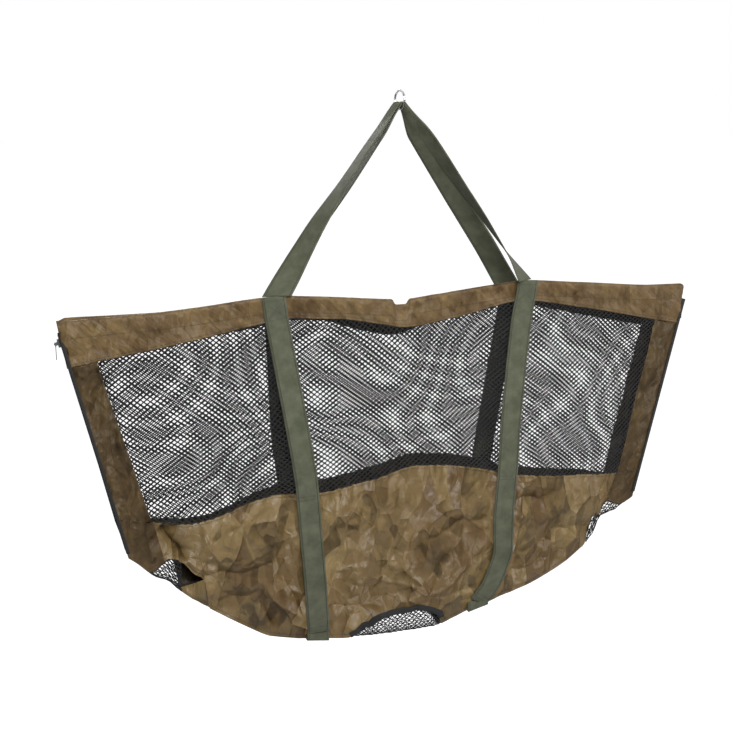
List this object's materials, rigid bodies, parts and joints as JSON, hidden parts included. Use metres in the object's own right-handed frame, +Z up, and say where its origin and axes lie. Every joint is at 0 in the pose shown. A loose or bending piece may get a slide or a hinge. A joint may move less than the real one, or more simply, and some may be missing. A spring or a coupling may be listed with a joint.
{
  "type": "weigh sling",
  "caption": "Long fabric weigh sling with mesh windows, zipped ends and webbing handles that hang from a steel ring.",
  "frame": {"origin": "where the hook bears, at the top of the ring's eye", "axes": "+Z up, +X along the sling to its right end, +Y from the front wall to the rear wall"},
  "size_m": [1.097, 0.1018, 0.9324],
  "materials": {
    "ring_steel": "polished",
    "webbing": "woven olive green webbing",
    "coated_cloth": "crinkled coated nylon, soft shine",
    "net": "knotless fine mesh",
    "rod": "glass-fibre rod",
    "zip_tape": "woven zip tape",
    "zip_coil": "nylon coil",
    "zip_metal": "plated zinc"
  },
  "bodies": {
    "ring": {"hook_ring": "ring_steel"},
    "sling": {"front_handle_saddle": "webbing", "rear_handle_saddle": "webbing", "middle_drain_net": "net", "front_left_zip_tape": "zip_tape", "front_right_zip_tape": "zip_tape", "rear_left_zip_tape": "zip_tape", "rear_right_zip_tape": "zip_tape", "left_bottom_strip": "coated_cloth", "left_under_strap": "webbing", "left_corner_drain_net": "net", "left_zip_coil": "zip_coil", "right_bottom_strip": "coated_cloth", "right_under_strap": "webbing", "right_corner_drain_net": "net", "right_zip_coil": "zip_coil"},
    "front_wall": {"front_hem": "coated_cloth", "front_window_net": "net", "front_lower_panel": "coated_cloth", "front_left_side_band": "coated_cloth", "front_left_sewn_strap": "webbing", "front_left_rod": "rod", "front_right_side_band": "coated_cloth", "front_right_sewn_strap": "webbing", "front_right_rod": "rod"},
    "rear_wall": {"rear_hem": "coated_cloth", "rear_window_net": "net", "rear_lower_panel": "coated_cloth", "rear_left_side_band": "coated_cloth", "rear_left_sewn_strap": "webbing", "rear_left_rod": "rod", "rear_right_side_band": "coated_cloth", "rear_right_sewn_strap": "webbing", "rear_right_rod": "rod"},
    "front_legs": {"front_left_handle_leg": "webbing", "front_right_handle_leg": "webbing"},
    "rear_legs": {"rear_left_handle_leg": "webbing", "rear_right_handle_leg": "webbing"},
    "left_slider": {"left_zip_slider": "zip_metal"},
    "left_pull": {"left_zip_pull": "zip_metal"},
    "right_slider": {"right_zip_slider": "zip_metal"},
    "right_pull": {"right_zip_pull": "zip_metal"}
  },
  "joints": [
    {"name": "sling_rock", "type": "hinge", "parent": "ring", "child": "sling", "pos_m": [0, 0, -0.02675], "axis": [0, 1, 0], "range_deg": [-12, 12]},
    {"name": "front_wall_open", "type": "hinge", "parent": "sling", "child": "front_wall", "pos_m": [0, -0.025, -0.927], "axis": [1, 0, 0], "range_deg": [0, 8], "stiffness_Nm_per_rad": 6},
    {"name": "rear_wall_open", "type": "hinge", "parent": "sling", "child": "rear_wall", "pos_m": [0, 0.025, -0.927], "axis": [-1, 0, 0], "range_deg": [0, 8], "stiffness_Nm_per_rad": 6},
    {"name": "front_legs_spread", "type": "hinge", "parent": "sling", "child": "front_legs", "pos_m": [0, 0, -0.0125], "axis": [-1, 0, 0], "range_deg": [0, 17]},
    {"name": "rear_legs_spread", "type": "hinge", "parent": "sling", "child": "rear_legs", "pos_m": [0, 0, -0.0125], "axis": [1, 0, 0], "range_deg": [0, 17]},
    {"name": "left_zip_run", "type": "slide", "parent": "sling", "child": "left_slider", "axis": [0.2218, 0, -0.9751], "range_m": [0, 0.34]},
    {"name": "left_pull_swing", "type": "hinge", "parent": "left_slider", "child": "left_pull", "pos_m": [-0.54617, 0, -0.3708], "axis": [0, 1, 0], "range_deg": [-20, 150]},
    {"name": "right_zip_run", "type": "slide", "parent": "sling", "child": "right_slider", "axis": [-0.2218, 0, -0.9751], "range_m": [0, 0.34]},
    {"name": "right_pull_swing", "type": "hinge", "parent": "right_slider", "child": "right_pull", "pos_m": [0.54617, 0, -0.3708], "axis": [0, -1, 0], "range_deg": [-20, 150]}
  ],
  "couplings": [
    {"joint": "front_legs_spread", "follows": "front_wall_open", "ratio": 2.1},
    {"joint": "rear_legs_spread", "follows": "rear_wall_open", "ratio": 2.1}
  ]
}
